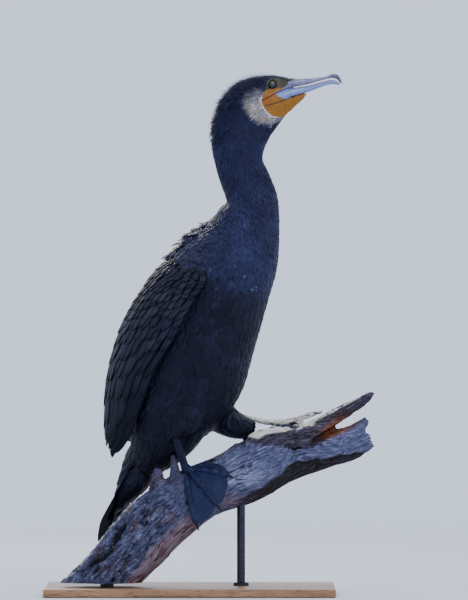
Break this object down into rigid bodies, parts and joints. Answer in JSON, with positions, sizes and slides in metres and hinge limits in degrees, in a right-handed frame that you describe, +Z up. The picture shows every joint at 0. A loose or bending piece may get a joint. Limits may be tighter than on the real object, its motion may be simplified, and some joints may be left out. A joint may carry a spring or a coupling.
{
  "type": "great cormorant model on a perch",
  "caption": "Life-size still model of an adult great cormorant gripping a weathered branch with webbed feet, held by a flat display base and short rods",
  "frame": {"origin": "middle of the underside of the stand's base", "axes": "+Z up, +X the way the bird faces, -Y its right side"},
  "size_m": [0.4795, 0.26, 0.7538],
  "materials": {
    "plumage": "glossy blue-black contour feathers",
    "wing": "bronze-brown feathers with black margins",
    "bill": "grey horn",
    "pouch": "bare yellow-orange skin",
    "eye": "wet green eye",
    "foot": "black scaled skin",
    "wood": "weathered grey dead wood",
    "base": "satin varnished board",
    "steel": "dark satin"
  },
  "bodies": {
    "root": {"torso": "plumage", "neck_lower": "plumage", "neck_upper": "plumage", "head": "plumage", "thigh_left": "plumage", "thigh_right": "plumage", "wing_left": "wing", "wing_right": "wing", "tail": "wing", "bill_upper": "bill", "bill_lower": "bill", "gular_pouch": "pouch", "eye_left": "eye", "eye_right": "eye", "tarsus_left": "foot", "tarsus_right": "foot", "foot_left": "foot", "foot_right": "foot", "perch": "wood", "stand_base": "base", "stand_rod_front": "steel", "stand_rod_rear": "steel"}
  },
  "joints": []
}
